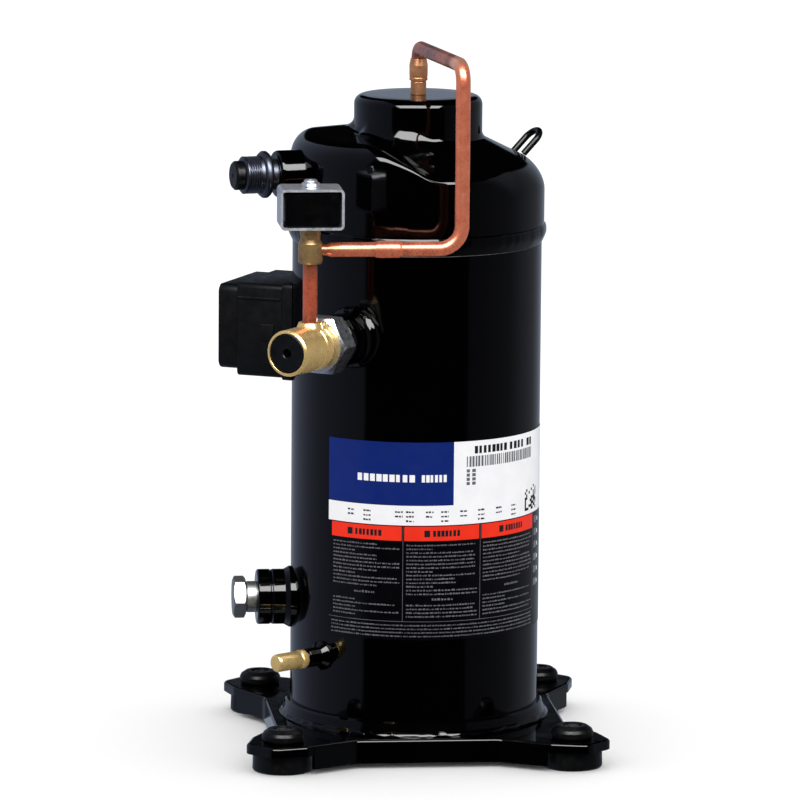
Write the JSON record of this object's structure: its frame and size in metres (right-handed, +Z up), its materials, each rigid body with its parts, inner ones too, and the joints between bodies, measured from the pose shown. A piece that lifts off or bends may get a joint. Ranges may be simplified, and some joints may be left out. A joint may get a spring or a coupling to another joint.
{
  "type": "scroll compressor",
  "caption": "Upright hermetic scroll compressor: square four-hole base, side suction and discharge fittings, terminal box and a solenoid-controlled vapour line on top.",
  "frame": {"origin": "centre of the square of mounting holes, on the shell axis, in the plane that the rubber feet stand on", "axes": "+Z up along the shell axis; X and Y along the sides of the square of mounting holes, with the oil-level fitting on -X"},
  "size_m": [0.2495, 0.2619, 0.4688],
  "materials": {
    "black_paint": "gloss",
    "rubber": "satin",
    "zinc_plate": "satin",
    "brass": "satin",
    "copper": "satin",
    "dark_plastic": "satin",
    "black_plastic": "matt",
    "label_film": "satin",
    "cast_iron": "machined",
    "machined_steel": "machined",
    "spring_steel": "satin",
    "motor_steel": "laminated",
    "aluminium": "cast",
    "bearing_bronze": "machined",
    "winding": "enamelled wire"
  },
  "bodies": {
    "casing": {"base_plate": "black_paint", "bottom_cap": "black_paint", "coil_bracket": "zinc_plate", "coil_nut": "zinc_plate", "discharge_stub": "black_paint", "grommet_sleeves": "zinc_plate", "guide_bolts": "machined_steel", "lift_cylinder": "cast_iron", "lift_spring": "spring_steel", "lifting_eye": "black_paint", "lower_bearing_bracket": "machined_steel", "lower_bush": "bearing_bronze", "main_bearing_housing": "cast_iron", "main_bush": "bearing_bronze", "motor_leads": "copper", "mounting_grommets": "rubber", "oil_valve_body": "black_paint", "partition_plate": "black_paint", "plunger_spring": "spring_steel", "power_terminal": "machined_steel", "rating_label": "label_film", "seam_weld": "black_paint", "shell_body": "black_paint", "sight_plug": "zinc_plate", "sight_stub": "black_paint", "solenoid_coil": "black_plastic", "stator_core": "motor_steel", "stator_windings": "winding", "suction_adapter": "brass", "suction_baffle": "machined_steel", "suction_stub": "black_paint", "terminal_box_base": "black_plastic", "terminal_pins": "machined_steel", "top_cap": "black_paint", "tube_coupling": "copper", "unloader_fitting": "brass", "valve_body": "brass", "valve_guide_tube": "machined_steel", "valve_inlet_tube": "copper", "valve_outlet_tube": "copper", "vapour_tube": "copper"},
    "rotor": {"crankshaft": "machined_steel", "rotor_core": "motor_steel", "upper_counterweight": "bearing_bronze", "lower_counterweight": "bearing_bronze", "drive_bush": "bearing_bronze"},
    "orbiter": {"orbiting_scroll": "cast_iron", "hub_bush": "bearing_bronze"},
    "coupling_ring": {"oldham_ring": "aluminium"},
    "lifting_scroll": {"fixed_scroll": "cast_iron", "lift_piston": "machined_steel"},
    "seal": {"floating_seal": "machined_steel"},
    "check_disc": {"discharge_valve_disc": "machined_steel"},
    "plunger": {"valve_plunger": "machined_steel"},
    "rotating_nut": {"suction_nut": "zinc_plate"},
    "suction_bung": {"suction_plug": "rubber"},
    "discharge_bung": {"discharge_plug": "dark_plastic"},
    "oil_cap": {"oil_valve_cap": "brass"},
    "oil_core": {"oil_valve_core": "brass"},
    "box_cover": {"terminal_box_cover": "black_plastic"}
  },
  "joints": [
    {"name": "crank_spin", "type": "hinge", "parent": "casing", "child": "rotor", "pos_m": [0, 0, 0], "axis": [0, 0, 1], "continuous": true},
    {"name": "scroll_orbit", "type": "hinge", "parent": "rotor", "child": "orbiter", "pos_m": [0.004, 0, 0], "axis": [0, 0, 1], "continuous": true},
    {"name": "oldham_slide", "type": "slide", "parent": "casing", "child": "coupling_ring", "axis": [0, 1, 0], "range_m": [-0.004, 0.004]},
    {"name": "scroll_lift", "type": "slide", "parent": "casing", "child": "lifting_scroll", "axis": [0, 0, 1], "range_m": [0, 0.001], "stiffness_N_per_m": 6000, "springref_m": -0.003, "deforming": ["lift_spring"]},
    {"name": "seal_float", "type": "slide", "parent": "lifting_scroll", "child": "seal", "axis": [0, 0, 1], "range_m": [0, 0.001]},
    {"name": "check_valve_lift", "type": "slide", "parent": "lifting_scroll", "child": "check_disc", "axis": [0, 0, 1], "range_m": [0, 0.003]},
    {"name": "plunger_lift", "type": "slide", "parent": "casing", "child": "plunger", "axis": [0, 0, 1], "range_m": [0, 0.003], "stiffness_N_per_m": 300, "springref_m": -0.004, "deforming": ["plunger_spring"]},
    {"name": "suction_nut_turn", "type": "hinge", "parent": "casing", "child": "rotating_nut", "pos_m": [-0.07053, -0.09708, 0.2815], "axis": [-0.5878, -0.809, 0], "continuous": true},
    {"name": "suction_plug_pull", "type": "slide", "parent": "casing", "child": "suction_bung", "axis": [-0.5878, -0.809, 0], "range_m": [0, 0.03]},
    {"name": "discharge_plug_pull", "type": "slide", "parent": "casing", "child": "discharge_bung", "axis": [-0.9703, -0.2419, 0], "range_m": [0, 0.02]},
    {"name": "oil_cap_turn", "type": "hinge", "parent": "casing", "child": "oil_cap", "pos_m": [-0.08785, -0.0662, 0.0665], "axis": [-0.7986, -0.6018, 0], "continuous": true},
    {"name": "oil_core_push", "type": "slide", "parent": "casing", "child": "oil_core", "axis": [0.7986, 0.6018, 0], "range_m": [0, 0.001], "stiffness_N_per_m": 400, "springref_m": -0.002},
    {"name": "box_cover_pull", "type": "slide", "parent": "casing", "child": "box_cover", "axis": [-0.891, 0.454, 0], "range_m": [0, 0.04]}
  ],
  "couplings": [
    {"joint": "scroll_orbit", "follows": "crank_spin", "ratio": -1}
  ]
}
